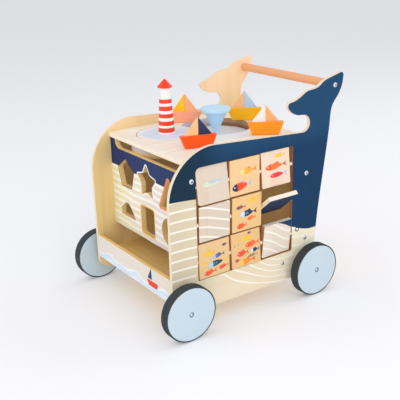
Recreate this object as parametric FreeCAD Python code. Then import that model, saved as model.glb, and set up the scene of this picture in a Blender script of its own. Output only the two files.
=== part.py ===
import FreeCAD, Part
import math
import os

# Baby walker with flip tiles, a shape sorter and a gear game on top.
# Millimetres. +Z up, -Y forward (the shape-sorter end), +X the child's left (the flip-tile side).
# The origin lies on the floor under the middle of the walker.

# ---- driving dimensions ----
WIDTH = 340.0              # over the outer faces of the side panels
PLY = 9.0                  # plywood thickness
HALF = WIDTH / 2
INNER = HALF - PLY
FRONT = -217.35            # front edge of the side panels
WHEEL_R = 62.5
TYRE_WALL = 3.0
WHEEL_W = 22.2
WHEEL_OUT = HALF + 41.2    # outer face of the wheels
AXLE_Y = (18.5, 373.3)     # axles, measured back from the front edge
AXLE_R = 4.0
FIT = 0.05                 # radial running clearance
BOARD_TOP = 376.7
BOARD_T = 11.0
BOARD_LOW = BOARD_TOP - BOARD_T
SORTER_Y = 51.2
SORTER_T = 12.0
SORTER_LOW = 150.8
FLOOR_LOW = 80.0
BACK_Y = 367.0
HANDLE = (453.5, 481.5)
HANDLE_R = 10.0
OPEN_Y = (66.0, 330.0)     # flip-tile opening
OPEN_Z = (110.0, 362.4)
TILE_T = 11.0
TILE_W = 80.8
TILE_H = 80.6
TILE_X = HALF - PLY / 2
ROD_R = 3.0
HUB_A = (-62.0, 147.0)     # gear with the lighthouse
HUB_B = (-40.0, 272.0)     # gear with the funnel
WELL_A = 71.0              # radii of the two round wells in the top board
WELL_B = 84.0
GEAR_Z = 349.0
SMALL_T = 5.0              # thickness of the toothed part of each gear
LARGE_T = 5.5
DISC_R = 81.5              # smooth disc that covers the teeth of the large gear
DISC_T = 3.5
TEETH_A = 13
TEETH_B = 19

OUT = "parts"
os.makedirs(OUT, exist_ok=True)


def vec(x, a, z):
    """Point at x, a millimetres behind the front edge, at height z."""
    return FreeCAD.Vector(x, FRONT + a, z)


def save(name, *shapes):
    """Write one node; several solids become one group."""
    solids = [s for shape in shapes for s in shape.Solids]
    shape = solids[0] if len(solids) == 1 else Part.makeCompound(solids)
    shape.exportStep(os.path.join(OUT, name + ".step"))


def box(x0, x1, a0, a1, z0, z1):
    return Part.makeBox(x1 - x0, a1 - a0, z1 - z0, vec(x0, a0, z0))


def rod(axis, r, start, length):
    """Cylinder along a main axis from a start point."""
    direction = {"x": (1, 0, 0), "y": (0, 1, 0), "z": (0, 0, 1)}[axis]
    return Part.makeCylinder(r, length, start, FreeCAD.Vector(*direction))


def outline(edges, direction):
    """Solid from a closed list of edges swept along a direction."""
    wire = Part.Wire(Part.__sortEdges__(edges))
    return Part.Face(wire).extrude(direction)


def polygon(points, direction):
    return Part.Face(Part.makePolygon(points + [points[0]])).extrude(direction)


def line(p, q):
    return Part.makeLine(p, q)


def arc(p, m, q):
    return Part.Arc(p, m, q).toShape()


def curve(points):
    spline = Part.BSplineCurve()
    spline.interpolate(points)
    return spline.toShape()


def soften(shape, size, keep):
    """Round the edges that keep(edge) picks."""
    return shape.makeFillet(size, [e for e in shape.Edges if keep(e)])


def along(edge, axis):
    """True for a straight edge parallel to the given axis index."""
    if edge.Curve.TypeId != "Part::GeomLine":
        return False
    d = edge.Vertexes[-1].Point - edge.Vertexes[0].Point
    return abs(abs(d[axis]) - d.Length) < 1e-6


def revolve(x, a, profile):
    """Turned piece about a vertical axis from (radius, height) points."""
    points = [vec(x + r, a, z) for r, z in profile]
    face = Part.Face(Part.makePolygon(points + [points[0]]))
    return face.revolve(vec(x, a, 0), FreeCAD.Vector(0, 0, 1), 360)


# ---- side panels: one outline with an animal's head at the back ----
def side_profile(x):
    p = lambda a, z: vec(x, a, z)
    return [
        line(p(24, 39.8), p(374, 39.8)),
        arc(p(374, 39.8), p(391, 46.8), p(398.5, 64)),
        curve([p(398.5, 64), p(402.3, 124.5), p(412.9, 215.4), p(424, 286), p(434.9, 356.6), p(441, 408),
               p(443, 425.4), p(448.5, 439.5), p(460.4, 453.9), p(473.8, 476), p(477.6, 496)]),
        arc(p(477.6, 496), p(477.3, 505.0), p(471.5, 508.5)),
        curve([p(471.5, 508.5), p(461, 506), p(436.6, 500.1), p(417, 493.5), p(406.7, 486.2), p(391.8, 481.1),
               p(370, 478.6), p(356.6, 472), p(339.3, 463.5), p(321.5, 459.6)]),
        arc(p(321.5, 459.6), p(315.0, 455.2), p(315.6, 447.6)),
        arc(p(315.6, 447.6), p(328, 435.4), p(349, 428.2)),
        line(p(349, 428.2), p(362, 427.1)),
        arc(p(362, 427.1), p(379, 407.3), p(358, 387.3)),
        line(p(358, 387.3), p(112, 403.3)),
        arc(p(112, 403.3), p(32.8, 370.5), p(0, 291.3)),
        line(p(0, 291.3), p(0, 64)),
        arc(p(0, 64), p(7, 46.8), p(24, 39.8)),
    ]


SIDE_SCREWS = ((55.9, 336.1), (371.5, 290.3), (371.5, 131.2), (60.0, 84.5), (302.8, 84.5))
SCREW_R = 2.0
DOWEL_R = 2.5              # dowels that hold the front board
DOWEL_Z = (85.0, 113.0)
panels = {}
for name, side in (("panel_left", 1), ("panel_right", -1)):
    x = INNER if side > 0 else -HALF
    panel = outline(side_profile(x), FreeCAD.Vector(PLY, 0, 0))
    holes = [rod("x", SCREW_R + FIT, vec(x - 1, a, z), PLY + 2) for a, z in SIDE_SCREWS]
    holes.append(rod("x", SCREW_R + FIT, vec(x - 1, *HANDLE), PLY + 2))
    holes += [rod("x", AXLE_R + FIT, vec(x - 1, a, WHEEL_R), PLY + 2) for a in AXLE_Y]
    for z in DOWEL_Z:
        holes.append(rod("x", DOWEL_R, vec(INNER - 1 if side > 0 else -INNER - 6, PLY / 2, z), 7))
    panels[name] = panel.cut(Part.makeCompound(holes))

# The left panel carries the flip tiles in one wide opening with slots for their rods.
r1, r2 = 12.0, 4.0
opening = box(INNER - 1, HALF + 1, *OPEN_Y, *OPEN_Z)
opening = soften(opening, r2, lambda e: along(e, 0) and not (
    e.CenterOfMass.y < FRONT + 100 and e.CenterOfMass.z > 300))
opening = soften(opening, r1, lambda e: along(e, 0) and
                 e.CenterOfMass.y < FRONT + 100 and e.CenterOfMass.z > 300)
ROW_Z = [OPEN_Z[1] - (k + 0.5) * (OPEN_Z[1] - OPEN_Z[0]) / 3 for k in range(3)]
TILE_Y = ((108.9, 193.6, 279.8), (111.8, 198.4, 281.6), (108.7, 195.0, 284.8))   # tile middles, row by row
SLOT = 9.0
left = panels["panel_left"].cut(opening)
for z in ROW_Z:
    for a in (OPEN_Y[0] - SLOT, OPEN_Y[1] - 1):
        left = left.cut(box(INNER - 1, TILE_X, a, a + SLOT + 1, z - ROD_R - FIT, z + ROD_R + FIT))
        left = left.cut(rod("y", ROD_R + FIT, vec(TILE_X, a, z), SLOT + 1))
left = left.removeSplitter()

save("panel_left", left)
save("panel_right", panels["panel_right"])

# ---- flip tiles on three rods ----
rods = []
keepers = []
spacers = []
length = OPEN_Y[1] - OPEN_Y[0] + 2 * SLOT - 0.6
for z, middles in zip(ROW_Z, TILE_Y):
    rods.append(rod("y", ROD_R, vec(TILE_X, OPEN_Y[0] - SLOT + 0.3, z), length))
    for a in (OPEN_Y[0] - SLOT, OPEN_Y[1]):
        keepers.append(box(INNER, TILE_X - ROD_R, a, a + SLOT, z - ROD_R, z + ROD_R))
    before = [OPEN_Y[0]] + [a + TILE_W / 2 for a in middles]
    after = [a - TILE_W / 2 for a in middles] + [OPEN_Y[1]]
    for start, end in zip(before, after):
        width = min(end - start - 0.6, 4.4)
        start = (start + end - width) / 2
        ring = rod("y", 4.2, vec(TILE_X, start, z), width)
        spacers.append(ring.cut(rod("y", ROD_R, vec(TILE_X, start - 1, z), width + 2)))
save("tile_rods", *rods)
save("tile_rod_keepers", *keepers)
save("tile_spacers", *spacers)

# Rest tilt of each tile in degrees: positive leans its top outwards.
TILT = ((-7.5, 0, -5), (2, 1.5, 49), (-1, -3.5, 7.5))
for row in range(3):
    for col in range(3):
        a, z = TILE_Y[row][col], ROW_Z[row]
        tile = box(TILE_X - TILE_T / 2, TILE_X + TILE_T / 2, a - TILE_W / 2, a + TILE_W / 2,
                   z - TILE_H / 2, z + TILE_H / 2)
        first = row == 0 and col == 0
        tile = soften(tile, 2.0, lambda e: along(e, 0) and not (first and e.CenterOfMass.y < FRONT + a))
        if first:
            tile = soften(tile, r1, lambda e: along(e, 0) and e.CenterOfMass.y < FRONT + a - 35
                          and e.CenterOfMass.z > z + 35)
            tile = soften(tile, 6.5, lambda e: along(e, 0) and e.CenterOfMass.y < FRONT + a - 35
                          and e.CenterOfMass.z < z - 35)
        tile = soften(tile, 1.2, lambda e: abs(abs(e.CenterOfMass.x - TILE_X) - TILE_T / 2) < 1e-3)
        tile = tile.cut(rod("y", ROD_R + FIT, vec(TILE_X, a - TILE_W, z), 2 * TILE_W))
        tile.rotate(vec(TILE_X, a, z), FreeCAD.Vector(0, 1, 0), TILT[row][col])
        save("tile_%d%d" % (row + 1, col + 1), tile)


# ---- shape sorter ----
def pentagon(x, z, r, a, depth):
    turns = [k * 0.4 * math.pi for k in range(5)]
    points = [vec(x + r * math.sin(t), a, z + r * math.cos(t)) for t in turns]
    solid = polygon(points, FreeCAD.Vector(0, depth, 0))
    return soften(solid, 3.0, lambda e: along(e, 1))


def star(x, z, r, a, depth):
    points = []
    for k in range(10):
        size = r if k % 2 == 0 else 0.56 * r
        points.append(vec(x + size * math.sin(k * math.pi / 5), a, z + size * math.cos(k * math.pi / 5)))
    solid = polygon(points, FreeCAD.Vector(0, depth, 0))
    return soften(solid, 2.4, lambda e: along(e, 1))


def triangle(x, z, base, height, a, depth):
    points = [vec(x - base / 2, a, z), vec(x + base / 2, a, z), vec(x, a, z + height)]
    solid = polygon(points, FreeCAD.Vector(0, depth, 0))
    return soften(solid, 2.5, lambda e: along(e, 1))


def wave(x, z, width, height, a, depth):
    """Flat underneath, with a shoulder on one side, a crest and a long slope on the other."""
    def at(u, v):
        return vec(x + width * u, a, z + height * v)

    crest = curve([at(-0.5, 0.56), at(-0.36, 0.66), at(-0.20, 0.90), at(-0.04, 1.0), at(0.14, 0.86),
                   at(0.34, 0.50), at(0.5, 0.14)])
    bottom = line(at(0.5, 0), at(-0.5, 0))
    ends = [line(at(0.5, 0.14), at(0.5, 0)), line(at(-0.5, 0), at(-0.5, 0.56))]
    return outline([crest, bottom] + ends, FreeCAD.Vector(0, depth, 0))


def block(x, z, width, height, r, a, depth):
    solid = box(x - width / 2, x + width / 2, a, a + depth, z, z + height)
    return soften(solid, r, lambda e: along(e, 1))


def disc(x, z, r, a, depth):
    return rod("y", r, vec(x, a, z), depth)


HOLES = (
    ("block_pentagon", pentagon, (-94, 288, 37)),
    ("block_star", star, (-3, 291, 42)),
    ("block_triangle", triangle, (87, 249, 76, 74)),
    ("block_wave", wave, (-94, 182, 64, 36)),
    ("block_rectangle", block, (-5, 163, 57, 68, 8)),
    ("block_disc", disc, (87, 198, 33)),
)
sorter = box(-INNER, INNER, SORTER_Y, SORTER_Y + SORTER_T, SORTER_LOW, BOARD_LOW)
slot = box(-139, 139, SORTER_Y - 1, SORTER_Y + SORTER_T + 1, 344, BOARD_LOW + 20)
sorter = sorter.cut(soften(slot, 19.0, lambda e: along(e, 1) and e.CenterOfMass.z < 350))
for name, make, size in HOLES:
    sorter = sorter.cut(make(*size, SORTER_Y - 1, SORTER_T + 2))
for side in (1, -1):
    sorter = sorter.cut(rod("x", SCREW_R + FIT, vec(side * INNER - 20, 55.9, 336.1), 40))
save("sorter_panel", sorter)

# The blocks match the holes and lie in two rows at the back of the inner floor.
CLEAR = 2.0
BLOCK_T = 24.0
FLOOR_TOP = FLOOR_LOW + PLY
flat = {
    "block_pentagon": pentagon(0, 0, 37 - CLEAR, 0, BLOCK_T),
    "block_star": star(0, 0, 42 - CLEAR, 0, BLOCK_T),
    "block_triangle": triangle(0, -30, 76 - 3 * CLEAR, 74 - 3 * CLEAR, 0, BLOCK_T),
    "block_wave": wave(0, -18, 64 - 2 * CLEAR, 36 - 2 * CLEAR, 0, BLOCK_T),
    "block_rectangle": block(0, -32, 57 - 2 * CLEAR, 68 - 2 * CLEAR, 7, 0, BLOCK_T),
    "block_disc": disc(0, 0, 33 - CLEAR, 0, BLOCK_T),
}
PLACES = ((-105, 245), (-15, 245), (70, 245), (-105, 325), (-20, 325), (70, 325))
for (name, solid), (x, a) in zip(flat.items(), PLACES):
    solid.rotate(vec(0, 0, 0), FreeCAD.Vector(1, 0, 0), 90)
    solid.translate(FreeCAD.Vector(x, a, FLOOR_TOP - solid.BoundBox.ZMin))
    solid = soften(solid, 1.0, lambda e: e.CenterOfMass.z > FLOOR_TOP + BLOCK_T - 0.01)
    save(name, solid)

# ---- body boards ----
front = box(-INNER, INNER, 0, PLY, 71.2, 127.1)
front = soften(front, 1.5, lambda e: along(e, 0) and e.CenterOfMass.y < FRONT + 1)
dowels = []
for side in (1, -1):
    for z in DOWEL_Z:
        start = INNER - 14 if side > 0 else -INNER - 6
        dowels.append(rod("x", DOWEL_R, vec(start, PLY / 2, z), 20))
        front = front.cut(rod("x", DOWEL_R, vec(side * INNER - 14, PLY / 2, z), 28))
save("front_board", front)
save("front_dowels", *dowels)

floor = box(-INNER, INNER, PLY + 0.1, BACK_Y + PLY, FLOOR_LOW, FLOOR_TOP)
for side in (1, -1):
    for a in (60.0, 302.8):
        floor = floor.cut(rod("x", SCREW_R + FIT, vec(side * INNER - 20, a, 84.5), 40))
save("floor_board", floor)

back = box(-INNER, INNER, BACK_Y, BACK_Y + PLY, FLOOR_TOP, BOARD_LOW)
for side in (1, -1):
    for z in (131.2, 290.3):
        back = back.cut(rod("x", SCREW_R + FIT, vec(side * INNER - 20, 371.5, z), 40))
save("back_panel", back)

# ---- top board with a figure-eight well for two gears ----
def two_discs(ra, rb, z, height):
    a = rod("z", ra, vec(*HUB_A, z), height)
    b = rod("z", rb, vec(*HUB_B, z), height)
    return a.fuse(b)


# Each boat: colour, pivot x and distance back, turn in degrees, hull height, sail height.
BOATS = (
    ("red", 85.0, 134.0, 17.0, 27.5, 39.0),
    ("orange", 96.0, 312.0, 34.0, 29.5, 38.0),
    ("yellow", -44.0, 362.0, 38.0, 30.5, 42.0),
    ("pink", -121.0, 238.5, 42.0, 28.0, 42.0),
)
PIVOT_R = 2.5
DEEP = [b for b in BOATS if b[0] in ("yellow", "pink")]   # these stand over the well ring
top = box(-INNER, INNER, 48.2, BACK_Y + PLY, BOARD_LOW, BOARD_TOP)
top = soften(top, 2.0, lambda e: along(e, 0) and e.CenterOfMass.y < 0)
top = top.cut(two_discs(WELL_A, WELL_B, BOARD_LOW - 1, BOARD_T + 2))
for colour, x, a, *rest in BOATS:
    top = top.cut(rod("z", PIVOT_R + FIT, vec(x, a, BOARD_LOW - 1), BOARD_T + 2))
save("top_board", top)

RING_LOW = GEAR_Z - 1.0
ring = two_discs(WELL_A + 12, WELL_B + 12, RING_LOW, BOARD_LOW - RING_LOW)
ring = ring.cut(two_discs(WELL_A, WELL_B, RING_LOW - 1, 40))
ring = ring.cut(box(-INNER, INNER, BACK_Y - 0.2, BACK_Y + 60, RING_LOW - 1, BOARD_TOP))
for colour, x, a, *rest in DEEP:
    ring = ring.cut(rod("z", PIVOT_R + FIT, vec(x, a, RING_LOW - 1), 40))
save("well_ring", ring)

base = two_discs(WELL_A + 12, WELL_B + 12, RING_LOW - PLY, PLY)
base = base.cut(box(-INNER, INNER, BACK_Y - 0.2, BACK_Y + 60, RING_LOW - PLY - 1, BOARD_TOP))
for hub in (HUB_A, HUB_B):
    base = base.cut(rod("z", 4.0 + FIT, vec(*hub, RING_LOW - PLY - 1), 20))
for colour, x, a, *rest in DEEP:
    base = base.cut(rod("z", PIVOT_R + FIT, vec(x, a, RING_LOW - PLY - 1), 40))
save("well_base", base)


# ---- gears with involute teeth ----
CENTRES = math.dist(HUB_A, HUB_B)
MODULE = 2 * CENTRES / (TEETH_A + TEETH_B)
PRESSURE = math.radians(25)
ADDENDUM = 0.68 * MODULE
DEDENDUM = 0.88 * MODULE
BACKLASH = 0.35


def gear(hub, teeth, phase, z, height):
    """Spur gear whose first tooth points along phase (radians)."""
    pitch = MODULE * teeth / 2
    base_r = pitch * math.cos(PRESSURE)
    tip = pitch + ADDENDUM
    root = pitch - DEDENDUM
    inv = math.tan(PRESSURE) - PRESSURE
    half = math.pi / (2 * teeth) - BACKLASH / pitch + inv

    def at(r, angle):
        return vec(hub[0] + r * math.cos(angle), hub[1] + r * math.sin(angle), z)

    def flank(side, centre):
        points = []
        for k in range(7):
            r = base_r + (tip - base_r) * k / 6
            t = math.sqrt(max((r / base_r) ** 2 - 1, 0))
            points.append(at(r, centre + side * (half - (t - math.atan(t)))))
        return points

    edges = []
    for k in range(teeth):
        centre = phase + 2 * math.pi * k / teeth
        low, high = flank(-1, centre), flank(1, centre)
        start, end = at(root, centre - half), at(root, centre + half)
        edges += [line(start, low[0]), curve(low)]
        edges.append(arc(low[-1], at(tip, centre), high[-1]))
        edges += [curve(high), line(high[0], end)]
        following = centre + 2 * math.pi / teeth
        edges.append(arc(end, at(root, centre + math.pi / teeth), at(root, following - half)))
    return outline(edges, FreeCAD.Vector(0, 0, height))


LINE = math.atan2(HUB_B[1] - HUB_A[1], HUB_B[0] - HUB_A[0])
gear_a = gear(HUB_A, TEETH_A, LINE + math.pi / TEETH_A, GEAR_Z, SMALL_T)
gear_b = gear(HUB_B, TEETH_B, LINE + math.pi, GEAR_Z, LARGE_T)
disc_b = rod("z", DISC_R, vec(*HUB_B, GEAR_Z + LARGE_T), DISC_T)
disc_b = soften(disc_b, 0.8, lambda e: e.CenterOfMass.z > GEAR_Z + LARGE_T + 1)
PIN_R = 4.0
for hub, solid, name in ((HUB_A, gear_a, "gear_small"), (HUB_B, gear_b, "gear_large"),
                         (HUB_B, disc_b, "gear_disc")):
    solid = solid.cut(rod("z", PIN_R + FIT, vec(*hub, GEAR_Z - 1), 20))
    save(name, solid)

# The lighthouse stands on a round lid that fills the front well level with the board.
LID_LOW = BOARD_TOP - PLY
lid = rod("z", WELL_A - 1.5, vec(*HUB_A, LID_LOW), PLY)
lid = soften(lid, 0.8, lambda e: e.CenterOfMass.z > BOARD_TOP - 1)
lid = lid.cut(rod("z", PIN_R + FIT, vec(*HUB_A, LID_LOW - 1), 20))
save("lighthouse_lid", lid)
hub_block = rod("z", 22.0, vec(*HUB_A, GEAR_Z + SMALL_T), LID_LOW - GEAR_Z - SMALL_T)
hub_block = hub_block.cut(rod("z", PIN_R + FIT, vec(*HUB_A, GEAR_Z), 40))
save("hub_block", hub_block)

tower = revolve(*HUB_A, [(0, 0), (19.5, 0), (20.2, 1.2), (20.2, 2.6), (19.3, 3.6), (14.2, 84), (13.4, 85),
                         (11.0, 85), (11.0, 107), (0, 107)])
tower.translate(FreeCAD.Vector(0, 0, BOARD_TOP))
tower = tower.cut(rod("z", PIN_R + FIT, vec(*HUB_A, BOARD_TOP - 1), 21))
save("lighthouse_tower", tower)
roof = revolve(*HUB_A, [(0, 107), (15.8, 107), (17.2, 108), (17.2, 109.2), (3.4, 124.2), (1.6, 125.8),
                        (0, 126.2)])
roof.translate(FreeCAD.Vector(0, 0, BOARD_TOP))
save("lighthouse_roof", roof)

# Funnel-shaped knob on the disc of the large gear.
GEAR_TOP = GEAR_Z + LARGE_T + DISC_T
funnel = revolve(*HUB_B, [(0, 0), (8, 0), (7.3, 3), (7.8, 9), (10.6, 17), (14.2, 25), (17.8, 32.5),
                          (21.8, 42.5), (26, 51), (28.5, 54.2), (33.5, 55.2), (35.2, 56.5), (35.2, 62.5), (34.2, 63.8),
                          (30, 64.2), (0, 64.2)])
funnel.translate(FreeCAD.Vector(0, 0, GEAR_TOP))
funnel = funnel.cut(rod("z", PIN_R + FIT, vec(*HUB_B, GEAR_TOP - 1), 21))
save("funnel_knob", funnel)

# Pins with heads under the well, and washers that carry the gears.
pins = []
washers = []
for hub, end in ((HUB_A, BOARD_TOP + 18), (HUB_B, GEAR_TOP + 18)):
    low = RING_LOW - PLY
    head = rod("z", 8.0, vec(*hub, low - 3), 3)
    pins.append(head.fuse(rod("z", PIN_R, vec(*hub, low - 1), end - low + 1)))
    washer = rod("z", 11.0, vec(*hub, RING_LOW), 0.9)
    washers.append(washer.cut(rod("z", PIN_R + FIT, vec(*hub, RING_LOW - 1), 3)))
save("gear_pins", *pins)
save("gear_washers", *washers)

# ---- boats that turn on upright pivots ----
HULL_TOP = 83.5
HULL_BOTTOM = 61.0
HULL_T = 14.0
SAIL_BASE = 62.0
SAIL_T = 6.0
RIDE = 0.5
pivots = []
for colour, x, a, turn, hull_h, sail_h in BOATS:
    z = BOARD_TOP + RIDE
    hull = polygon([vec(x - HULL_T / 2, a + s, z + h) for s, h in (
        (-HULL_BOTTOM / 2, 0), (HULL_BOTTOM / 2, 0), (HULL_TOP / 2, hull_h), (-HULL_TOP / 2, hull_h))],
        FreeCAD.Vector(HULL_T, 0, 0))
    hull = soften(hull, 1.8, lambda e: along(e, 0))
    hull = soften(hull, 1.2, lambda e: abs(abs(e.CenterOfMass.x - x) - HULL_T / 2) < 1e-3)
    hull = hull.cut(box(x - SAIL_T / 2, x + SAIL_T / 2, a - SAIL_BASE / 2, a + SAIL_BASE / 2,
                        z + hull_h - 5, z + hull_h + 1))
    hull = hull.cut(rod("z", PIVOT_R + FIT, vec(x, a, z - 1), 18))
    sail = polygon([vec(x - SAIL_T / 2, a + s, z + hull_h + h) for s, h in (
        (-SAIL_BASE / 2, -5), (SAIL_BASE / 2, -5), (SAIL_BASE / 2, 0), (0, sail_h), (-SAIL_BASE / 2, 0))],
        FreeCAD.Vector(SAIL_T, 0, 0))
    sail = soften(sail, 2.0, lambda e: along(e, 0) and e.CenterOfMass.z > z + hull_h + 10)
    sail = soften(sail, 0.8, lambda e: abs(abs(e.CenterOfMass.x - x) - SAIL_T / 2) < 1e-3
                  and e.CenterOfMass.z > z + hull_h + 0.5)
    for solid, name in ((hull, "hull"), (sail, "sail")):
        solid.rotate(vec(x, a, z), FreeCAD.Vector(0, 0, 1), -turn)
        save("boat_%s_%s" % (colour, name), solid)
    low = RING_LOW - PLY if colour in ("yellow", "pink") else BOARD_LOW
    pivots.append(rod("z", 4.4, vec(x, a, low - 2.5), 2.5).fuse(
        rod("z", PIVOT_R, vec(x, a, low - 1), z + 16 - low)))
save("boat_pivots", *pivots)

# ---- handle ----
handle = rod("x", HANDLE_R, vec(-INNER, *HANDLE), 2 * INNER)
for side in (1, -1):
    handle = handle.cut(rod("x", SCREW_R + FIT, vec(side * INNER - 20, *HANDLE), 40))
save("handle_bar", handle)


# ---- screws with domed socket heads ----
def screw(x, a, z, side, length):
    """Screw driven along X from the outer face; side +1 points its head to +X."""
    dome = Part.makeSphere(7.4, vec(x - side * 5.2, a, z))
    ends = (x, x + 6) if side > 0 else (x - 6, x)
    reach = box(*ends, a - 9, a + 9, z - 9, z + 9)
    head = dome.common(reach)
    socket = rod("x", 1.8, vec(x + side * 0.9 if side > 0 else x - 4, a, z), 3.1)
    shank = rod("x", SCREW_R, vec(x - length if side > 0 else x, a, z), length)
    return head.cut(socket).fuse(shank)


screws = []
for side in (1, -1):
    for a, z in SIDE_SCREWS:
        screws.append(screw(side * HALF, a, z, side, PLY + 18))
    screws.append(screw(side * HALF, *HANDLE, side, PLY + 18))
save("body_screws", *screws)

# ---- axles, spacers, wheels and tyres ----
axles = []
sleeves = []
ends = []
for a in AXLE_Y:
    reach = WHEEL_OUT - 2.8
    axles.append(rod("x", AXLE_R, vec(-reach, a, WHEEL_R), 2 * reach))
    for side in (1, -1):
        x = HALF if side > 0 else -(WHEEL_OUT - WHEEL_W - 0.5)
        length = WHEEL_OUT - WHEEL_W - 0.5 - HALF
        sleeves.append(rod("x", 11.0, vec(x, a, WHEEL_R), length).cut(
            rod("x", AXLE_R, vec(x - 1, a, WHEEL_R), length + 2)))
        x = WHEEL_OUT - 2.7 if side > 0 else -(WHEEL_OUT - 2.7) - 1.0
        washer = rod("x", 5.4, vec(x, a, WHEEL_R), 1.0)
        x = WHEEL_OUT - 1.7
        dome = Part.makeSphere(4.0, vec(side * (x - 2.4), a, WHEEL_R))
        reach_box = box(x, x + 5, a - 8, a + 8, WHEEL_R - 8, WHEEL_R + 8)
        if side < 0:
            reach_box = box(-x - 5, -x, a - 8, a + 8, WHEEL_R - 8, WHEEL_R + 8)
        head = dome.common(reach_box)
        ends.append(washer.fuse(head))
save("axles", *axles)
save("axle_sleeves", *sleeves)
save("axle_ends", *ends)

for tag, a in (("front", AXLE_Y[0]), ("rear", AXLE_Y[1])):
    for hand, side in (("left", 1), ("right", -1)):
        x = WHEEL_OUT - WHEEL_W if side > 0 else -WHEEL_OUT
        wheel = rod("x", WHEEL_R - TYRE_WALL, vec(x, a, WHEEL_R), WHEEL_W)
        wheel = soften(wheel, 1.0, lambda e: e.Length > 100)
        recess = rod("x", 6.0, vec(WHEEL_OUT - 3.0 if side > 0 else -WHEEL_OUT - 1, a, WHEEL_R), 4.0)
        wheel = wheel.cut(recess).cut(rod("x", AXLE_R + FIT, vec(x - 1, a, WHEEL_R), WHEEL_W + 2))
        save("wheel_%s_%s" % (tag, hand), wheel)
        tyre = rod("x", WHEEL_R, vec(x, a, WHEEL_R), WHEEL_W)
        tyre = soften(tyre, 1.6, lambda e: e.Length > 100)
        tyre = tyre.cut(rod("x", WHEEL_R - TYRE_WALL, vec(x - 1, a, WHEEL_R), WHEEL_W + 2))
        save("tyre_%s_%s" % (tag, hand), tyre)
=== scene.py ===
import math

import bmesh
import bpy
from mathutils import Matrix, Vector


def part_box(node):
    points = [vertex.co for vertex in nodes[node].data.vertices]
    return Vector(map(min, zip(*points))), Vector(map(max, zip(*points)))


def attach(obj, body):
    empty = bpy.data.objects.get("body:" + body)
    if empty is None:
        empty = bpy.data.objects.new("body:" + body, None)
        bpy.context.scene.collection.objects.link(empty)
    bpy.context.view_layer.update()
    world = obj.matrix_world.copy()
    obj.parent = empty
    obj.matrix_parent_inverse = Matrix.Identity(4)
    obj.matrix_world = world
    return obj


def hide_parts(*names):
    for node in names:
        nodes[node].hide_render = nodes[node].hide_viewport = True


# Looks of a wooden baby walker: paint, plywood, printed fish tiles, gear game and rubber tyres.
# Lengths inside the helpers are millimetres measured as in the CAD: x, a (behind the front edge), z.

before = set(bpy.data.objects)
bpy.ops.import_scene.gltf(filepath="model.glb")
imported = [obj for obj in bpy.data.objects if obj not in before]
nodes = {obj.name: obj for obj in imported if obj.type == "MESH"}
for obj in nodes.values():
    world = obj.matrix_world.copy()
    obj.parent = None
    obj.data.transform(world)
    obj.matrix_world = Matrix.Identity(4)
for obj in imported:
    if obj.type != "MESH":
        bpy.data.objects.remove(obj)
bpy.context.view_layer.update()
MM = 0.001
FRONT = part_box("panel_left")[0].y / MM   # front edge of the side panels
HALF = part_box("panel_left")[1].x / MM    # outer face of the left panel


def at(x, a, z):
    """Point in metres from x, distance behind the front edge and height in millimetres."""
    return Vector((x, FRONT + a, z)) * MM


def middle(node):
    """Middle of a CAD node as (x, a, z) in millimetres."""
    low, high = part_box(node)
    c = (low + high) / 2 / MM
    return c.x, c.y - FRONT, c.z


def rgb(r, g, b):
    """Linear colour from 0-255 screen values."""
    out = []
    for v in (r, g, b):
        v /= 255
        out.append(v / 12.92 if v <= 0.04045 else ((v + 0.055) / 1.055) ** 2.4)
    return (*out, 1.0)


NAVY = rgb(8, 54, 90)
WHITE = rgb(242, 242, 242)
CREAM = rgb(248, 242, 230)
BEIGE = rgb(224, 213, 180)
PLYWOOD = rgb(234, 206, 154)
YELLOW_PLY = rgb(242, 214, 154)
PEACH = rgb(248, 202, 150)
SKY = rgb(182, 228, 255)
RED = rgb(240, 58, 28)
YELLOW = rgb(250, 196, 30)


# ---- numbers and colours inside a material ----
class Num:
    """A number that varies over the surface, combined with ordinary arithmetic."""

    def __init__(self, paint, socket):
        self.paint = paint
        self.socket = socket

    def do(self, operation, *others):
        """This number put through a step of arithmetic, with other numbers where it needs them."""
        node = self.paint.tree.nodes.new("ShaderNodeMath")
        node.operation = operation
        self.paint.tree.links.new(self.socket, node.inputs[0])
        for i, other in enumerate(others):
            if isinstance(other, Num):
                self.paint.tree.links.new(other.socket, node.inputs[i + 1])
            else:
                node.inputs[i + 1].default_value = other
        return Num(self.paint, node.outputs[0])

    def __add__(self, other):
        return self.do("ADD", other)

    def __sub__(self, other):
        return self.do("SUBTRACT", other)

    def __mul__(self, other):
        return self.do("MULTIPLY", other)

    def __truediv__(self, other):
        return self.do("DIVIDE", other)

    def above(self, edge, soft=0.5):
        """0 below the edge, 1 above it, with a soft change in between."""
        ramp = (self - edge) / soft + 0.5
        return ramp.do("MAXIMUM", 0.0).do("MINIMUM", 1.0)

    def below(self, edge, soft=0.5):
        return self.above(edge, soft).inverse()

    def either(self, other):
        return self.do("MAXIMUM", other)

    def size(self):
        return self.do("ABSOLUTE")

    def facing(self):
        """For a part of the normal: 1 where the surface looks along that axis, either way."""
        return self.size().above(0.72, 0.1)

    def inverse(self):
        """1 less this number."""
        return self * -1.0 + 1.0

    def curve(self, points):
        """The value read off a smooth line through (input, output) points."""
        xs = [p[0] for p in points]
        ys = [p[1] for p in points]
        x0, x1, y0, y1 = min(xs), max(xs), min(ys), max(ys)
        node = self.paint.tree.nodes.new("ShaderNodeFloatCurve")
        line = node.mapping.curves[0]
        scaled = [((x - x0) / (x1 - x0), (y - y0) / (y1 - y0)) for x, y in points]
        line.points[0].location = scaled[0]
        line.points[1].location = scaled[-1]
        for p in scaled[1:-1]:
            line.points.new(*p)
        node.mapping.update()
        self.paint.tree.links.new(((self - x0) / (x1 - x0)).socket, node.inputs["Value"])
        return Num(self.paint, node.outputs[0]) * (y1 - y0) + y0


RELIEF = 0.0006   # metres between the lowest and highest point of a relief


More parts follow.
